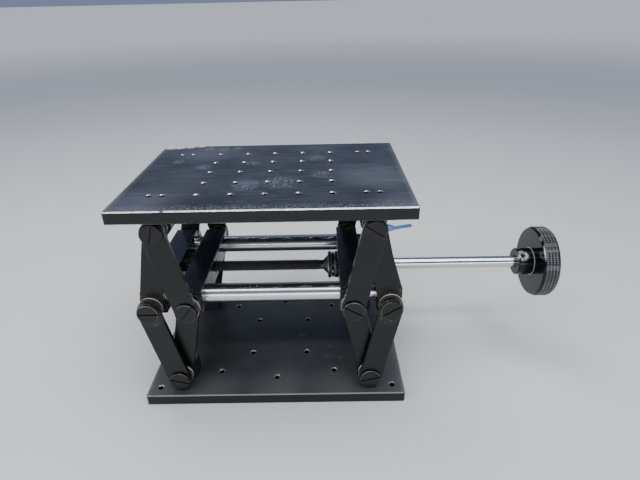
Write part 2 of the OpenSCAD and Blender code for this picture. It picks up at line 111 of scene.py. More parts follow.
floor_half = 30
lamp_reach = 0.7
far_floor = 6 * lamp_reach
far_glow = 0.5
floor_material, tree = new_material("white_studio_floor")
coordinates = node(tree, "TexCoord")
distance = node(tree, "VectorMath", links={0: coordinates.outputs["Object"]}, operation="LENGTH")
# Far from the four lamps the floor gives the light that a large studio's other lamps would
far_light = node(tree, "MapRange", {"From Min": lamp_reach, "From Max": far_floor, "To Max": far_glow},
                 {"Value": distance.outputs["Value"]}, interpolation_type="SMOOTHSTEP")
set_surface(tree, {"Base Color": rgb("#dfdfdc"), "Roughness": 0.75, "Emission Color": rgb("#dfdfdc")},
            {"Emission Strength": far_light.outputs[0]})
floor_mesh = bpy.data.meshes.new("floor")
floor_mesh.from_pydata(
    [(-floor_half, -floor_half, 0), (floor_half, -floor_half, 0),
     (floor_half, floor_half, 0), (-floor_half, floor_half, 0)], [], [(0, 1, 2, 3)])
floor_mesh.materials.append(floor_material)
floor = new_object("floor", floor_mesh)

world = bpy.data.worlds.new("studio_surround")
world.use_nodes = True
world.node_tree.nodes.clear()
surround = node(world.node_tree, "Background", {"Color": rgb("#a3b2d8"), "Strength": 0.5})
node(world.node_tree, "OutputWorld", links={"Surface": surround.outputs[0]})
bpy.context.scene.world = world


def softbox(name, place, aim, size, power):
    """A rectangular lamp that faces a point"""
    data = bpy.data.lights.new(name, "AREA")
    data.shape = "RECTANGLE"
    data.size, data.size_y = size
    data.energy = power
    lamp = bpy.data.objects.new(name, data)
    lamp.location = place
    lamp.rotation_euler = (Vector(aim) - Vector(place)).to_track_quat("-Z", "Y").to_euler()
    bpy.context.scene.collection.objects.link(lamp)


softbox("overhead_softbox", (0.1, 0.1, 1.3), (0.03, 0, 0.05), (1.6, 0.5), 14)
softbox("high_front_softbox", (0.05, -0.62, 1.15), (0.03, 0, 0.08), (1.6, 0.14), 7)
softbox("low_front_softbox", (0.05, -1.4, 0.2), (0.03, 0, 0.08), (1.8, 0.3), 7)
softbox("left_softbox", (-1.1, -0.5, 0.7), (0, 0, 0.08), (0.5, 0.9), 5)


# Plates. Two sawn and milled aluminium plates, anodised black. Years on a bench have left
# fine scratches along them, pale scuffs and dust, and bright bevels where the black wore off.
anodised_ior = 1.42
plate_black = "#0e0f12"
bare_aluminium = "#c9c9c5"
# Rubbed metal is so finely scratched that it scatters light as a pale matt face does
rubbed_aluminium = "#f4f3ee"
dust_on_table = "#a2a9b8"
dust_on_base = "#9c9e9c"
rust_colour = "#8a4a34"
scratch_length = 40 * MM
# Real scratches are 0.1 to 0.3 mm wide, and real dust is finer still. Both are less than a
# pixel here, so they are drawn as coarse as they need to show.
scratch_width = 0.9 * MM
speck_size = 1.1 * MM
scratch_depth = 0.05 * MM
dust_cloud_size = 45 * MM
worn_patch_size = 7 * MM
rubbed_end_width = 5 * MM
speckled_width = 11 * MM
full_dust_share = 0.4
full_rust_share = 0.7
soft_dust_share = 0.24
rubbed_end_share = 0.4
# Spots on the plates: X, Y and radius in millimetres
scuffs_on_table = [(-16, -31, 15), (42, -10, 12), (37, 35, 11), (-58, 14, 9), (-17, 23, 8), (10, -26, 18),
                   (-84, 30, 7), (-64, 69, 8), (-50, 67, 7), (-38, 68, 6)]
dusty_on_table = [(-64, 52, 34), (84, -15, 44), (96, -72, 30), (-92, -62, 34)]
rust_on_table = [(-50, -50, 4), (0, -50, 3)]
rubbed_on_table = [(-103, 76, 9), (-94, 77, 9), (-84, 78, 8), (-74, 79, 6)]
scuffs_on_base = [(-75, -38, 8), (43, -32, 5), (20, -1, 6), (56, -35, 4), (47, -18, 4)]
dusty_on_base = [(102, -48, 52), (-100, -60, 34), (0, -74, 40), (-50, -74, 36), (50, -74, 36)]
table_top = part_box("table_plate")[1].z
base_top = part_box("base_plate")[1].z
plate_half_length, plate_half_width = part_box("table_plate")[1].xy


def worn_bevels(tree, axis, coordinates, bare_from, bare_to):
    """A mask that is 1 on faces at about 45 degrees to an axis, and breaks up along them"""
    normal = node(tree, "SeparateXYZ", links={0: coordinates.outputs["Normal"]})
    along = node(tree, "Math", links={0: normal.outputs[axis]}, operation="ABSOLUTE")
    slanted = node(tree, "Math", {1: 0.7, 2: 0.2}, {0: along.outputs[0]}, operation="COMPARE")
    patches = node(tree, "TexNoise", {"Scale": 1 / worn_patch_size, "Detail": 4},
                   {"Vector": coordinates.outputs["Object"]})
    shown = node(tree, "MapRange", {"From Min": bare_from, "From Max": bare_to},
                 {"Value": patches.outputs["Fac"]})
    return node(tree, "Math", links={0: slanted.outputs[0], 1: shown.outputs[0]}, operation="MULTIPLY")


def strongest(tree, masks):
    """The largest of several masks at each point"""
    found = masks[0]
    for mask in masks[1:]:
        found = node(tree, "Math", links={0: found.outputs[0], 1: mask.outputs[0]}, operation="MAXIMUM")
    return found


def spots(tree, coordinates, places, height):
    """A mask that is 1 in the middle of each place and fades to its radius"""
    masks = []
    for x, y, radius in places:
        away = node(tree, "VectorMath", {1: (x * MM, y * MM, height)},
                    {0: coordinates.outputs["Object"]}, operation="DISTANCE")
        masks.append(node(tree, "MapRange", {"From Min": 0.2 * radius * MM, "From Max": radius * MM,
                                             "To Min": 1, "To Max": 0},
                          {"Value": away.outputs["Value"]}, interpolation_type="SMOOTHSTEP"))
    return strongest(tree, masks)


def coated(tree, base, coats):
    """A finish's colour under a row of coats, such as dust or wear. A coat is its mask and its
    colour, and a colour is a hex value or the socket of another coated finish."""
    for mask, coat in coats:
        blend = node(tree, "Mix", links={"Factor": mask.outputs[0]}, data_type="RGBA")
        for socket, colour in ((blend.inputs[6], base), (blend.inputs[7], coat)):
            if isinstance(colour, str):
                socket.default_value = rgb(colour)
            else:
                tree.links.new(colour, socket)
        base = blend.outputs[2]
    return base


def plate_material(name, height, dust, places, film, scratched, speckled, edge_wear):
    """Satin black with dust, scuffs and scratches on the upward face alone, and bare bevels.
    The places are lists of spots for scuffs, soft dust, rust and rubbed metal, and the film is
    the upward face's even share of dust."""
    made, tree = new_material(name)
    coordinates = node(tree, "TexCoord")
    along_plate = node(tree, "Mapping", {"Scale": (1 / scratch_length, 1 / scratch_width, 1 / scratch_width)},
                       {"Vector": coordinates.outputs["Object"]})
    grain = node(tree, "TexNoise", {"Scale": 1, "Detail": 3}, {"Vector": along_plate.outputs[0]})
    scratches = node(tree, "MapRange", {"From Min": 0.6, "From Max": 0.68}, {"Value": grain.outputs["Fac"]})
    clouds = node(tree, "TexNoise", {"Scale": 1 / dust_cloud_size, "Detail": 6, "Roughness": 0.6},
                  {"Vector": coordinates.outputs["Object"]})
    haze = node(tree, "MapRange", {"From Min": 0.35, "From Max": 0.75, "To Min": film, "To Max": film + 0.2},
                {"Value": clouds.outputs["Fac"]})
    grit = node(tree, "TexNoise", {"Scale": 1 / speck_size, "Detail": 2},
                {"Vector": coordinates.outputs["Object"]})
    broken = node(tree, "MapRange", {"From Min": 0.53, "From Max": 0.63, "To Max": 1.8},
                  {"Value": grit.outputs["Fac"]})
    specks = node(tree, "MapRange", {"From Min": 0.7, "From Max": 0.76}, {"Value": grit.outputs["Fac"]})
    scuffed = spots(tree, coordinates, places["scuffs"], height)
    marks = node(tree, "Math", links={0: scuffed.outputs[0], 1: broken.outputs[0]}, operation="MULTIPLY")
    soft = spots(tree, coordinates, places["dust"], height)
    soft_dust = node(tree, "Math", {1: soft_dust_share}, {0: soft.outputs[0]}, operation="MULTIPLY")
    pale = node(tree, "Math", {1: scratched}, {0: scratches.outputs[0]}, operation="MULTIPLY")
    place = node(tree, "SeparateXYZ", links={0: coordinates.outputs["Object"]})
    aside = node(tree, "Math", links={0: place.outputs["X"]}, operation="ABSOLUTE")
    near_ends = node(tree, "MapRange", {"From Min": plate_half_length - rubbed_end_width,
                                        "From Max": plate_half_length, "To Max": rubbed_end_share},
                     {"Value": aside.outputs[0]})
    near_front = node(tree, "MapRange", {"From Min": speckled_width - plate_half_width,
                                         "From Max": -plate_half_width, "To Max": speckled},
                      {"Value": place.outputs["Y"]})
    front_specks = node(tree, "Math", links={0: near_front.outputs[0], 1: broken.outputs[0]},
                        operation="MULTIPLY")
    dusty = haze
    for layer in (marks, soft_dust, pale, specks, near_ends, front_specks):
        dusty = node(tree, "Math", links={0: dusty.outputs[0], 1: layer.outputs[0]}, operation="ADD")
    normal = node(tree, "SeparateXYZ", links={0: coordinates.outputs["Normal"]})
    upward = node(tree, "MapRange", {"From Min": 0.75, "From Max": 0.95}, {"Value": normal.outputs["Z"]})
    dusty = node(tree, "Math", links={0: dusty.outputs[0], 1: upward.outputs[0]}, operation="MULTIPLY",
                 use_clamp=True)
    dust_share = node(tree, "Math", {1: full_dust_share}, {0: dusty.outputs[0]}, operation="MULTIPLY")
    coats = [(dust_share, dust)]
    if places["rust"]:
        rusty = spots(tree, coordinates, places["rust"], height)
        rust_share = node(tree, "Math", {1: full_rust_share}, {0: rusty.outputs[0]}, operation="MULTIPLY")
        coats.append((rust_share, rust_colour))
    bevels = worn_bevels(tree, "Z", coordinates, 0.2, 0.4)
    bare = node(tree, "Math", {1: edge_wear}, {0: bevels.outputs[0]}, operation="MULTIPLY")
    coats.append((bare, bare_aluminium))
    if places["rubbed"]:
        rubbed = spots(tree, coordinates, places["rubbed"], height)
        worn_through = node(tree, "MapRange", {"From Min": 0.42, "From Max": 0.52},
                            {"Value": grit.outputs["Fac"]})
        flecks = node(tree, "Math", links={0: rubbed.outputs[0], 1: worn_through.outputs[0]},
                      operation="MULTIPLY")
        flecks = node(tree, "Math", links={0: flecks.outputs[0], 1: upward.outputs[0]}, operation="MULTIPLY")
        coats.append((flecks, rubbed_aluminium))
    rough = node(tree, "MapRange", {"To Min": 0.25, "To Max": 0.42}, {"Value": dusty.outputs[0]})
    bump = node(tree, "Bump", {"Strength": 0.12, "Distance": scratch_depth}, {"Height": grain.outputs["Fac"]})
    set_surface(tree, {"IOR": anodised_ior},
                {"Base Color": coated(tree, plate_black, coats), "Metallic": bare.outputs[0],
                 "Roughness": rough.outputs[0], "Normal": bump.outputs[0]})
    return made


def dress(material, *names):
    """Gives CAD nodes a material"""
    for name in names:
        part = frame["nodes"][name]
        part.data.materials.clear()
        part.data.materials.append(material)


table_marks = {"scuffs": scuffs_on_table, "dust": dusty_on_table, "rust": rust_on_table,
               "rubbed": rubbed_on_table}
base_marks = {"scuffs": scuffs_on_base, "dust": dusty_on_base, "rust": [], "rubbed": []}
dress(plate_material("scuffed_black_anodised_table", table_top, dust_on_table, table_marks,
                     0.06, 0.28, 1, 1), "table_plate")
dress(plate_material("dusty_black_anodised_base", base_top, dust_on_base, base_marks,
                     0.24, 0.1, 0, 0.6), "base_plate")


# Brackets and cross bars. Bar stock with milled faces, black anodised and much smoother
# than the plates, so they mirror what is round them. Grease gathers beside the pivots.
# Black anodised; the lift of this black to a dark navy is a painted reflection of a blue backdrop
bar_black_and_painted_reflection = "#23282f"
grease_colour = "#2c2a24"
crumb_colour = "#b3b0a6"
pivot_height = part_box("outer_bar_left")[0].lerp(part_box("outer_bar_left")[1], 0.5).z
outer_pivot_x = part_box("outer_bar_right")[0].lerp(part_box("outer_bar_right")[1], 0.5).x
inner_pivot_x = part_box("inner_bar_right")[0].lerp(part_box("inner_bar_right")[1], 0.5).x
clean_half_width = 38 * MM
dirty_half_width = 52 * MM
bar_dirt_radius = 19 * MM
grease_smear_size = 18 * MM
milling_grain = 0.5 * MM
milling_depth = 0.05 * MM


def near_middle_pivots(tree, coordinates, radius, pivot_xs):
    """A mask round the middle pivots at given X, towards the front and the back"""
    place = node(tree, "SeparateXYZ", links={0: coordinates.outputs["Object"]})
    aside = node(tree, "Math", links={0: place.outputs["X"]}, operation="ABSOLUTE")
    point = node(tree, "CombineXYZ", links={"X": aside.outputs[0], "Z": place.outputs["Z"]})
    masks = []
    for pivot_x in pivot_xs:
        away = node(tree, "VectorMath", {1: (pivot_x, 0, pivot_height)}, {0: point.outputs[0]},
                    operation="DISTANCE")
        masks.append(node(tree, "MapRange", {"From Min": 0.5 * radius, "From Max": radius,
                                             "To Min": 1, "To Max": 0}, {"Value": away.outputs["Value"]}))
    from_middle = node(tree, "Math", links={0: place.outputs["Y"]}, operation="ABSOLUTE")
    at_sides = node(tree, "MapRange", {"From Min": clean_half_width, "From Max": dirty_half_width},
                    {"Value": from_middle.outputs[0]})
    near = strongest(tree, masks)
    return node(tree, "Math", links={0: near.outputs[0], 1: at_sides.outputs[0]}, operation="MULTIPLY")


def black_metal(name, black, smooth, rough, dirt_radius, dirty_xs, worn_axis):
    """Black anodised aluminium with a soft sheen, grease and grit near the middle pivots, and
    worn bevels where an axis is given"""
    made, tree = new_material(name)
    coordinates = node(tree, "TexCoord")
    clouds = node(tree, "TexNoise", {"Scale": 1 / grease_smear_size, "Detail": 5},
                  {"Vector": coordinates.outputs["Object"]})
    smears = node(tree, "MapRange", {"From Min": 0.4, "From Max": 0.7}, {"Value": clouds.outputs["Fac"]})
    grit = node(tree, "TexNoise", {"Scale": 1 / speck_size, "Detail": 2},
                {"Vector": coordinates.outputs["Object"]})
    crumbly = node(tree, "MapRange", {"From Min": 0.6, "From Max": 0.72}, {"Value": grit.outputs["Fac"]})
    near = near_middle_pivots(tree, coordinates, dirt_radius, dirty_xs)
    crumbs = node(tree, "Math", links={0: near.outputs[0], 1: crumbly.outputs[0]}, operation="MULTIPLY")
    grease_share = node(tree, "Math", {1: 0.45}, {0: near.outputs[0]}, operation="MULTIPLY")
    crumb_share = node(tree, "Math", {1: 0.6}, {0: crumbs.outputs[0]}, operation="MULTIPLY")
    coats = [(grease_share, grease_colour), (crumb_share, crumb_colour)]
    links = {}
    if worn_axis:
        bevels = worn_bevels(tree, worn_axis, coordinates, 0.4, 0.65)
        wear_share = node(tree, "Math", {1: 0.45}, {0: bevels.outputs[0]}, operation="MULTIPLY")
        coats.append((wear_share, bare_aluminium))
        links["Metallic"] = wear_share.outputs[0]
    roughness = node(tree, "MapRange", {"To Min": smooth, "To Max": rough}, {"Value": smears.outputs[0]})
    grain = node(tree, "TexNoise", {"Scale": 1 / milling_grain, "Detail": 2},
                 {"Vector": coordinates.outputs["Object"]})
    bump = node(tree, "Bump", {"Strength": 0.08, "Distance": milling_depth}, {"Height": grain.outputs["Fac"]})
    set_surface(tree, {"IOR": anodised_ior},
                {"Base Color": coated(tree, black, coats), "Roughness": roughness.outputs[0],
                 "Normal": bump.outputs[0], **links})
    return made


bar_finish = black_metal("smooth_black_anodised_bar", bar_black_and_painted_reflection, 0.2, 0.34, bar_dirt_radius,
                         (outer_pivot_x, inner_pivot_x), "X")
dress(bar_finish, "outer_bar_left", "inner_bar_right", "inner_bar_left", "outer_bar_right",
      "base_brackets_left", "base_brackets_right", "table_brackets_left", "table_brackets_right")


# Links. Flat bars with round ends and two reamed holes, milled, tumbled until the edges
# are just broken, and anodised black. Each mesh is its outline, extruded with broken edges.
link_black = "#0a0b0c"
link_radius = 9 * MM
link_bore_radius = 5.05 * MM
broken_edge = 0.3 * MM
link_dirt_radius = 15 * MM
half_circle_steps = 24
pivots = {joint["name"]: Vector(joint["pos_m"]) for joint in frame["joints"]}
base_pivot = pivots["fold"]
outer_pivot = pivots["carriage_a_pivot"]
inner_pivot = pivots["carriage_b_pivot"]
table_pivot = pivots["table_pivot"]


def arc(centre, radius, start, steps, share):
    """Points on part of a circle in the XZ plane, from a start angle"""
    angles = [start + share * 2 * math.pi * i / steps for i in range(steps)]
    return [(centre.x + radius * math.cos(a), centre.z + radius * math.sin(a)) for a in angles]


def add_wall(mesh, outlines, depths):
    """Quads through a row of like outlines, each at its own Y; returns the rings' vertices"""
    rings = [[mesh.verts.new((x, y, z)) for x, z in outline] for outline, y in zip(outlines, depths)]
    for first, second in zip(rings, rings[1:]):
        for i in range(len(first)):
            j = (i + 1) % len(first)
            mesh.faces.new((first[i], first[j], second[j], second[i]))
    return rings


def finish_mesh(mesh, name, material, body, smooth_angle=30):
    """Turns a bmesh into a piece that rides on a body"""
    bmesh.ops.recalc_face_normals(mesh, faces=mesh.faces)
    data = bpy.data.meshes.new(name)
    mesh.to_mesh(data)
    mesh.free()
    data.shade_smooth()
    data.set_sharp_from_angle(angle=math.radians(smooth_angle))
    data.materials.append(material)
    piece = new_object(name, data)
    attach(piece, body)
    return piece


def milled_link(name, body, first, second, material):
    """A link between two pivots, in the layer that its CAD node fills"""
    y_low, y_high = (corner.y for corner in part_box(name))
    lean = math.atan2(second.z - first.z, second.x - first.x)
    depths = (y_low, y_low + broken_edge, y_high - broken_edge, y_high)
    insets = (broken_edge, 0, 0, broken_edge)
    mesh = bmesh.new()
    # The steps of a half circle stop short of its end, so its last point is added by itself
    outside = [
        arc(second, link_radius - inset, lean - math.pi / 2, half_circle_steps, 0.5)
        + arc(second, link_radius - inset, lean + math.pi / 2, 1, 0)
        + arc(first, link_radius - inset, lean + math.pi / 2, half_circle_steps, 0.5)
        + arc(first, link_radius - inset, lean - math.pi / 2, 1, 0)
        for inset in insets]
    walls = [add_wall(mesh, outside, depths)]
    for centre in (first, second):
        bores = [arc(centre, link_bore_radius + inset, 0, 2 * half_circle_steps, 1) for inset in insets]
        walls.append(add_wall(mesh, bores, depths))
    for end in (0, -1):
        rims = [wall[end] for wall in walls]
        edges = [mesh.edges.get((rim[i - 1], rim[i])) for rim in rims for i in range(len(rim))]
        bmesh.ops.triangle_fill(mesh, edges=edges, use_beauty=True)
    piece = finish_mesh(mesh, "milled_" + name, material, body)
    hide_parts(name)


link_finish = black_metal("satin_black_anodised_link", link_black, 0.26, 0.36, link_dirt_radius,
                          (outer_pivot_x,), None)
ends_of_kind = {
    "lower_outer": (base_pivot, outer_pivot), "lower_inner": (base_pivot, inner_pivot),
    "upper_outer": (outer_pivot, table_pivot), "upper_inner": (inner_pivot, table_pivot),
}
for kind, ends in ends_of_kind.items():
    for end, mirrored in (("left", 1), ("right", -1)):
        low, high = (Vector((mirrored * point.x, point.y, point.z)) for point in ends)
        for side in ("front", "back"):
            milled_link(f"{side}_{kind}_link_{end}", f"{kind}_{end}", low, high, link_finish)


# Pivot screws and spacers. Slotted shoulder screws in black oxide, with the black worn thin
# on the rims of their wide heads. The zinc plated spacers are dull with grease, and the front
# ones have a pale cream band painted along the edge beside the inner link. The brackets' socket screws are
# blackened.
screw_black = "#0d0e0f"
worn_steel = "#a9a7a2"
spacer_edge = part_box("front_lower_inner_link_left")[0].y
# Width of the pale cream band painted on the front spacers at the inner link's face
pale_band_width = 1.2 * MM
turning_mark = 0.4 * MM
tarnish_size = 6 * MM


def oxide_steel(name, rim_marks):
    """Turned steel with a satin black oxide, greyer on its bevels by the rim wear"""
    made, tree = new_material(name)
    coordinates = node(tree, "TexCoord")
    bevels = worn_bevels(tree, "Y", coordinates, 0.3, 0.6)
    thin = node(tree, "Math", {1: rim_marks}, {0: bevels.outputs[0]}, operation="MULTIPLY")
    marks = node(tree, "TexNoise", {"Scale": 1 / turning_mark, "Detail": 3},
                 {"Vector": coordinates.outputs["Object"]})
    colour = coated(tree, screw_black, [(thin, worn_steel)])
    rough = node(tree, "MapRange", {"To Min": 0.3, "To Max": 0.42}, {"Value": marks.outputs["Fac"]})
    set_surface(tree, {"IOR": anodised_ior},
                {"Base Color": colour, "Metallic": thin.outputs[0], "Roughness": rough.outputs[0]})
    return made


def bare_steel(name, colour, rough, dull):
    """Steel that was left bare or plated: bright, a little uneven in its shine"""
    made, tree = new_material(name)
    coordinates = node(tree, "TexCoord")
    clouds = node(tree, "TexNoise", {"Scale": 1 / tarnish_size, "Detail": 4},
                  {"Vector": coordinates.outputs["Object"]})
    roughness = node(tree, "MapRange", {"To Min": rough, "To Max": dull}, {"Value": clouds.outputs["Fac"]})
    set_surface(tree, {"Base Color": rgb(colour), "Metallic": 1}, {"Roughness": roughness.outputs[0]})
    return made


def zinc_spacer_with_pale_band():
    """Zinc dulled by grease, with a pale cream band painted along the front edge beside the inner link"""
    made, tree = new_material("zinc_spacer_pale_band")
    coordinates = node(tree, "TexCoord")
    place = node(tree, "SeparateXYZ", links={0: coordinates.outputs["Object"]})
    # A pale cream band is painted along the front edge beside the inner link, less metallic than the rest
    pale = node(tree, "Math", {1: spacer_edge - pale_band_width / 2, 2: pale_band_width / 2},
                {0: place.outputs["Y"]}, operation="COMPARE")
    colour = coated(tree, "#857f74", [(pale, "#efe9da")])
    metal = node(tree, "MapRange", {"To Min": 0.9, "To Max": 0.2}, {"Value": pale.outputs[0]})
    clouds = node(tree, "TexNoise", {"Scale": 1 / tarnish_size, "Detail": 4},
                  {"Vector": coordinates.outputs["Object"]})
    rough = node(tree, "MapRange", {"To Min": 0.26, "To Max": 0.42}, {"Value": clouds.outputs["Fac"]})
    set_surface(tree, {}, {"Base Color": colour, "Metallic": metal.outputs[0], "Roughness": rough.outputs[0]})
    return made


dress(oxide_steel("black_oxide_worn_at_rims", 0.4), "base_pivot_screws", "carriage_a_pivot_screws",
      "carriage_b_pivot_screws")
dress(oxide_steel("black_oxide", 0.08), "table_pivot_screws", "shaft_collar")
dress(zinc_spacer_with_pale_band(), "base_washers", "table_washers", "carriage_a_washers", "carriage_b_washers")
dress(bare_steel("blackened_socket_screw", "#3a3a3c", 0.3, 0.5), "base_fixing_screws",
      "table_fixing_screws", "nut_grub_screw", "collar_grub_screw", "knob_set_screw")


# Guide rods and drive shaft. Hardened steel, centreless ground and polished, so they mirror
# the lamps as long bright bands. The lock stud and the cross pin are plain turned steel, and
# the drive nut in the inner left bar is turned brass, dark with old grease.
dress(bare_steel("ground_rod_steel", "#d0d1d2", 0.2, 0.26), "front_guide_rod", "back_guide_rod")
dress(bare_steel("polished_shaft_steel", "#d0d1d2", 0.12, 0.16), "drive_shaft")
dress(bare_steel("turned_steel", "#8d8f91", 0.25, 0.4), "lock_stud", "shaft_pin")
dress(bare_steel("greasy_turned_brass", "#4f4433", 0.3, 0.5), "drive_nut")


# Lead screw. A steel bar with a rolled trapezoidal thread, a turned groove where the thread
# ends and a cone that pushes on the bearing. It is blackened, oily and rusty in places.
thread_pitch = 2 * MM
thread_steps = 10
thread_radius = 5 * MM
root_radius = 4.1 * MM
tail_radius = 4 * MM
tail_gap = 0.5 * MM
screw_bevel = 0.5 * MM
groove_radius = 4.2 * MM
groove_length = 3.1 * MM
cone_length = 3.7 * MM
cone_radius = 8.5 * MM
spigot_radius = 3 * MM
spigot_length = 4 * MM
screw_segments = 40
rust_patch_size = 5 * MM
screw_axis = pivots["knob_turn"].z
screw_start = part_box("lead_screw")[0].x
screw_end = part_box("lead_screw")[1].x
thread_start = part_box("outer_bar_left")[1].x + tail_gap
cone_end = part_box("screw_side_race")[0].x
cone_start = cone_end - cone_length
thread_end = cone_start - groove_length


def turned(name, rings, segments, material, body, node_name, smooth_angle=30):
    """A solid of revolution about the screw's axis. A ring is its X and its radius, or one
    radius for each segment; a radius of 0 is a point on the axis."""
    mesh = bmesh.new()
    loops = []
    for x, radius in rings:
        radii = radius if isinstance(radius, list) else [radius] * (segments if radius else 1)
        turns = [2 * math.pi * k / segments for k in range(len(radii))]
        verts = [mesh.verts.new((x, -r * math.cos(a), screw_axis + r * math.sin(a)))
                 for r, a in zip(radii, turns)]
        loops.append((verts, radii))
    for (first, first_radii), (second, second_radii) in zip(loops, loops[1:]):
        for k in range(segments):
            a, b = first[k % len(first)], first[(k + 1) % len(first)]
            c, d = second[(k + 1) % len(second)], second[k % len(second)]
            if len({a, b, c, d}) < 4:
                mesh.faces.new(dict.fromkeys((a, b, c, d)))
                continue
            # A quad that isn't flat is split along its lower diagonal, which keeps knurls pointed
            next_k = (k + 1) % segments
            one = first_radii[k] + second_radii[next_k]
            other = first_radii[next_k] + second_radii[k]
            if abs(one - other) < 1e-9:
                mesh.faces.new((a, b, c, d))
            elif one < other:
                mesh.faces.new((a, b, c))
                mesh.faces.new((a, c, d))
            else:
                mesh.faces.new((a, b, d))
                mesh.faces.new((b, c, d))
    piece = finish_mesh(mesh, name, material, body, smooth_angle)
    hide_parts(node_name)
    return piece


def thread_rings(segments):
    """Rings of the threaded stretch: flat crests and roots with sloping flanks between"""
    count = round((thread_end - thread_start) / thread_pitch * thread_steps)
    made = []
    for i in range(1, count):
        x = thread_start + (thread_end - thread_start) * i / count
        near_end = min(1, i / thread_steps, (count - i) / thread_steps)
        radii = []
        for k in range(segments):
            # Crest and root are each a little over a quarter of the pitch wide
            phase = (x / thread_pitch - k / segments) % 1
            height = min(1, max(0, 1.6 - 4.4 * abs(phase - 0.5)))
            radii.append(root_radius + (thread_radius - root_radius) * height * near_end)
        made.append((x, radii))
    return made


def oiled_screw_steel():
    """Blackened steel with a film of oil and brown patches, rubbed barer at the cone"""
    made, tree = new_material("blackened_oily_steel")
    coordinates = node(tree, "TexCoord")
    clouds = node(tree, "TexNoise", {"Scale": 1 / rust_patch_size, "Detail": 5},
                  {"Vector": coordinates.outputs["Object"]})
    rust = node(tree, "MapRange", {"From Min": 0.52, "From Max": 0.68}, {"Value": clouds.outputs["Fac"]})
    place = node(tree, "SeparateXYZ", links={0: coordinates.outputs["Object"]})
    at_cone = node(tree, "MapRange", {"From Min": thread_end - 0.6 * MM, "From Max": thread_end},
                   {"Value": place.outputs["X"]})
    cone_colour = coated(tree, "#6a6965", [(rust, "#3f3a34")])
    colour = coated(tree, "#4b4b4c", [(rust, "#57504a"), (at_cone, cone_colour)])
    metal = node(tree, "MapRange", {"To Min": 0.3, "To Max": 1}, {"Value": at_cone.outputs[0]})
    rough = node(tree, "MapRange", {"To Min": 0.28, "To Max": 0.55}, {"Value": clouds.outputs["Fac"]})
    set_surface(tree, {}, {"Base Color": colour, "Metallic": metal.outputs[0], "Roughness": rough.outputs[0]})
    return made


turned("threaded_lead_screw", [
    (screw_start, 0), (screw_start, tail_radius - screw_bevel), (screw_start + screw_bevel, tail_radius),
    (thread_start - screw_bevel, tail_radius), (thread_start, root_radius),
    *thread_rings(screw_segments),
    (thread_end, root_radius), (thread_end, groove_radius), (cone_start, groove_radius),
    (cone_start, thread_radius), (cone_end - screw_bevel / 2, cone_radius - screw_bevel / 2),
    (cone_end - screw_bevel / 2, cone_radius), (cone_end, cone_radius), (cone_end, thread_radius),
    (screw_end, thread_radius), (screw_end, spigot_radius), (screw_end - spigot_length, spigot_radius),
    (screw_end - spigot_length, 0),
], screw_segments, oiled_screw_steel(), "screw", "lead_screw", smooth_angle=40)


# Thrust bearing. Two hardened races with a groove for the balls between them, ground bright
# and now stained dark with old grease. The steel cage shows between them as a third disc.
race_bevel = 0.6 * MM
ball_radius = 1.83 * MM
race_start, race_far_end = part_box("screw_side_race")[0].x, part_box("bar_side_race")[1].x
race_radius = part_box("screw_side_race")[1].z - screw_axis
race_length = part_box("screw_side_race")[1].x - race_start
ball_plane = (race_start + race_far_end) / 2
ball_circle = (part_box("bearing_balls")[1].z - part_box("bearing_balls")[0].z) / 2 - ball_radius
wide_bore = 6 * MM
groove_steps = 8
race_segments = 72
stain_size = 3 * MM


def bearing_race(face_x, inward, bore):
    """A race whose plain face is at an X; inward is the direction of the balls"""
    inner_x = face_x + inward * race_length
    reach = math.acos(abs(ball_plane - inner_x) / ball_radius)
    groove = []
    for i in range(groove_steps + 1):
        angle = -reach + 2 * reach * i / groove_steps
        groove.append((ball_plane - inward * ball_radius * math.cos(angle),
                       ball_circle - ball_radius * math.sin(angle)))
    return [
        (inner_x, bore), (face_x + inward * race_bevel, bore), (face_x, bore + race_bevel),
        (face_x, race_radius - race_bevel), (face_x + inward * race_bevel, race_radius),
        (inner_x - inward * race_bevel, race_radius), (inner_x, race_radius - race_bevel),
        *groove, (inner_x, bore),
    ]


def stained_bearing_steel():
    """Bright hard steel that old grease has stained dark in patches, but not on its rims"""
    made, tree = new_material("stained_bearing_steel")
    coordinates = node(tree, "TexCoord")
    clouds = node(tree, "TexNoise", {"Scale": 1 / stain_size, "Detail": 5},
                  {"Vector": coordinates.outputs["Object"]})
    stain = node(tree, "MapRange", {"From Min": 0.3, "From Max": 0.55}, {"Value": clouds.outputs["Fac"]})
    rims = worn_bevels(tree, "X", coordinates, 0.2, 0.4)
    colour = coated(tree, "#9b9a96", [(stain, "#2c2a28"), (rims, "#bdbcb8")])
    rough = node(tree, "MapRange", {"To Min": 0.14, "To Max": 0.4}, {"Value": stain.outputs[0]})
    set_surface(tree, {"Metallic": 1}, {"Base Color": colour, "Roughness": rough.outputs[0]})
    return made


race_finish = stained_bearing_steel()
turned("ground_screw_side_race", bearing_race(race_start, 1, thread_radius), race_segments,
       race_finish, "screw", "screw_side_race")
turned("ground_bar_side_race", bearing_race(race_far_end, -1, wide_bore), race_segments,
       race_finish, "carriage_a", "bar_side_race")
dress(race_finish, "ball_cage", "bearing_balls")


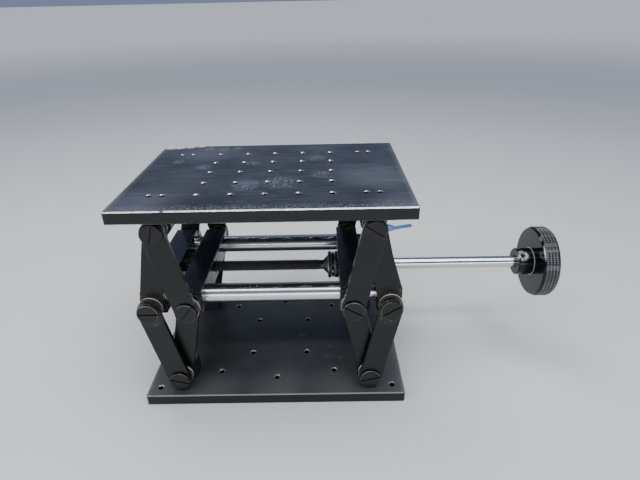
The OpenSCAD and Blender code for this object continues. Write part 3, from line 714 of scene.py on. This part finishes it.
# Knob. Turned from aluminium bar with its hub in one piece, its rim knurled with crossed
# lines, polished and then black anodised, so it mirrors like lacquer. The black has worn
# through on the knurl's crests and round the set screw's hole, and a pale metallic streak is
# painted along the rim's bevel on its front-top side.
knob_start, knob_end = (corner.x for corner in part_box("knob"))
knob_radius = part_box("knob")[1].z - screw_axis
hub_radius = 11.85 * MM
hub_length = 13.5 * MM
shaft_radius = 5 * MM
bore_end = knob_start + 22 * MM
hub_bevel = 0.5 * MM
disc_start = knob_start + hub_length
rim_bevel = 1.7 * MM
knurl_depth = 0.5 * MM
knurls_round = 108
knurls_across = 4
knurl_segments = 2 * knurls_round
seam_start, seam_end, seam_depth = 0.35 * MM, 0.15 * MM, 0.25 * MM
set_screw_radius = 2.5 * MM
set_screw_x = knob_start + 3.8 * MM
set_screw_tilt = math.radians(54)
set_screw_place = (set_screw_x, -hub_radius * math.cos(set_screw_tilt),
                   screw_axis + hub_radius * math.sin(set_screw_tilt))
# A pale metallic streak is painted along the rim's bevel on its front-top side
pale_streak_tilt = math.radians(42)
pale_streak_length = 15 * MM
pale_streak_depth, pale_streak_half_width = 0.7 * MM, 0.5 * MM
crest_wear_start, crest_wear_end = 0.28 * MM, 0.08 * MM
worn_area_size = 9 * MM
halo_radius, halo_end = 3.4 * MM, 6 * MM
flake_size = 2.2 * MM
rim_dust_share = 0.16
lacquer_like_ior = 1.36


def knurl_rings():
    """Rings of half a knurl each: every second point of every second ring is a crest"""
    made = []
    start, end = disc_start + rim_bevel, knob_end - rim_bevel
    for j in range(2 * knurls_across + 1):
        x = start + (end - start) * j / (2 * knurls_across)
        radii = [knob_radius - knurl_depth * (j % 2 == 0 or k % 2 == 0) for k in range(knurl_segments)]
        made.append((x, radii))
    return made


def polished_black():
    """A black mirror with a thin film of dust in the knurl, a satin hub, bare worn metal and a pale streak
    painted on the rim's front-top bevel
    """
    made, tree = new_material("polished_black_anodised")
    coordinates = node(tree, "TexCoord")
    from_axis = node(tree, "VectorMath", {1: (0, 0, -screw_axis)}, {0: coordinates.outputs["Object"]})
    across = node(tree, "VectorMath", {1: (0, 1, 1)}, {0: from_axis.outputs[0]}, operation="MULTIPLY")
    radius = node(tree, "VectorMath", links={0: across.outputs[0]}, operation="LENGTH")
    crest = node(tree, "MapRange", {"From Min": knob_radius - crest_wear_start,
                                    "From Max": knob_radius - crest_wear_end},
                 {"Value": radius.outputs["Value"]})
    clouds = node(tree, "TexNoise", {"Scale": 1 / worn_area_size, "Detail": 5},
                  {"Vector": coordinates.outputs["Object"]})
    worn = node(tree, "MapRange", {"From Min": 0.1, "From Max": 0.4}, {"Value": clouds.outputs["Fac"]})
    crest_wear = node(tree, "Math", links={0: crest.outputs[0], 1: worn.outputs[0]}, operation="MULTIPLY")
    # The pale metallic streak painted along the rim's bevel on its front-top side
    streak_middle = (disc_start + rim_bevel / 2, -knob_radius * math.cos(pale_streak_tilt),
                     screw_axis + knob_radius * math.sin(pale_streak_tilt))
    from_streak = node(tree, "VectorMath", {1: streak_middle}, {0: coordinates.outputs["Object"]},
                       operation="DISTANCE")
    streak = node(tree, "MapRange", {"From Min": pale_streak_length / 4, "From Max": pale_streak_length / 2,
                                     "To Min": 1, "To Max": 0}, {"Value": from_streak.outputs["Value"]})
    outer_bevel = node(tree, "Math", {1: knob_radius - pale_streak_depth, 2: pale_streak_half_width},
                       {0: radius.outputs["Value"]}, operation="COMPARE")
    bevels = worn_bevels(tree, "X", coordinates, 0, 0.1)
    thin_line = node(tree, "Math", links={0: bevels.outputs[0], 1: outer_bevel.outputs[0]},
                     operation="MULTIPLY")
    rim_marks = node(tree, "Math", links={0: thin_line.outputs[0], 1: streak.outputs[0]},
                    operation="MULTIPLY")
    place = node(tree, "SeparateXYZ", links={0: coordinates.outputs["Object"]})
    at_disc = node(tree, "Math", {1: disc_start, 2: 0.5 * MM}, {0: place.outputs["X"]}, operation="COMPARE")
    at_hub = node(tree, "Math", {1: hub_radius, 2: 0.6 * MM}, {0: radius.outputs["Value"]},
                  operation="COMPARE")
    seam = node(tree, "Math", links={0: at_disc.outputs[0], 1: at_hub.outputs[0]}, operation="MULTIPLY")
    from_hole = node(tree, "VectorMath", {1: set_screw_place}, {0: coordinates.outputs["Object"]},
                     operation="DISTANCE")
    halo = node(tree, "MapRange", {"From Min": halo_radius, "From Max": halo_end, "To Min": 1, "To Max": 0},
                {"Value": from_hole.outputs["Value"]}, interpolation_type="SMOOTHSTEP")
    grit = node(tree, "TexNoise", {"Scale": 1 / flake_size, "Detail": 3},
                {"Vector": coordinates.outputs["Object"]})
    flaked = node(tree, "MapRange", {"From Min": 0.4, "From Max": 0.52}, {"Value": grit.outputs["Fac"]})
    halo_wear = node(tree, "Math", links={0: halo.outputs[0], 1: flaked.outputs[0]}, operation="MULTIPLY")
    wear = strongest(tree, [crest_wear, halo_wear, rim_marks, seam])
    share = node(tree, "Math", {1: 0.8}, {0: wear.outputs[0]}, operation="MULTIPLY")
    rim_middle, rim_half = (disc_start + knob_end) / 2, (knob_end - disc_start) / 2 - rim_bevel
    across_rim = node(tree, "Math", {1: rim_middle, 2: rim_half}, {0: place.outputs["X"]},
                      operation="COMPARE")
    outside = node(tree, "MapRange", {"From Min": knob_radius - 1.2 * MM, "From Max": knob_radius - 0.6 * MM,
                                      "To Max": rim_dust_share}, {"Value": radius.outputs["Value"]})
    rim_dust = node(tree, "Math", links={0: across_rim.outputs[0], 1: outside.outputs[0]},
                    operation="MULTIPLY")
    colour = coated(tree, "#0a0b0c", [(rim_dust, "#77757d"), (share, "#c6c6c3")])
    on_hub = node(tree, "MapRange", {"From Min": hub_radius + 0.2 * MM, "From Max": hub_radius + MM,
                                     "To Min": 0.22, "To Max": 0.08}, {"Value": radius.outputs["Value"]})
    rough = node(tree, "MapRange", {"To Max": 0.3}, {"Value": wear.outputs[0], "To Min": on_hub.outputs[0]})
    metal = node(tree, "Math", {1: 0.45}, {0: wear.outputs[0]}, operation="MULTIPLY")
    set_surface(tree, {"IOR": lacquer_like_ior}, {"Base Color": colour, "Metallic": metal.outputs[0],
                                                  "Roughness": rough.outputs[0]})
    return made


knob = turned("knurled_knob", [
    (bore_end, 0), (bore_end, shaft_radius), (knob_start + hub_bevel, shaft_radius),
    (knob_start, shaft_radius + hub_bevel), (knob_start, hub_radius - hub_bevel),
    (knob_start + hub_bevel, hub_radius), (disc_start - seam_start, hub_radius),
    (disc_start - seam_end, hub_radius - seam_depth), (disc_start, hub_radius),
    (disc_start, knob_radius - rim_bevel), *knurl_rings(),
    (knob_end, knob_radius - rim_bevel), (knob_end, 0),
], knurl_segments, polished_black(), "screw", "knob", smooth_angle=25)

# The set screw's hole is drilled into the hub, and only the cut mesh is kept
drill = bmesh.new()
bmesh.ops.create_cone(drill, cap_ends=True, segments=32, radius1=set_screw_radius, radius2=set_screw_radius,
                      depth=hub_radius)
drill_mesh = bpy.data.meshes.new("drill")
drill.to_mesh(drill_mesh)
drill.free()
drill_object = new_object("drill", drill_mesh)
drill_object.rotation_euler = (math.pi / 2 - set_screw_tilt, 0, 0)
drill_object.location = set_screw_place
cut = knob.modifiers.new("set_screw_hole", "BOOLEAN")
cut.operation = "DIFFERENCE"
cut.object = drill_object
cut.solver = "EXACT"
bpy.context.view_layer.update()
cut_mesh = bpy.data.meshes.new_from_object(knob.evaluated_get(bpy.context.evaluated_depsgraph_get()))
knob.modifiers.clear()
knob.data = cut_mesh
bpy.data.objects.remove(drill_object)


# Lock lever. A steel lever on the stud of the back right pivot, zinc plated and passivated to a
# faint blue, a little uneven in its shine; the strong pale blue of its colour is partly a painted reflection
# of a blue backdrop.
# The pale blue is partly the zinc's own tint and partly a painted reflection of a blue backdrop
dress(bare_steel("zinc_with_painted_blue_reflection", "#7f9fdc", 0.3, 0.4), "lock_lever")
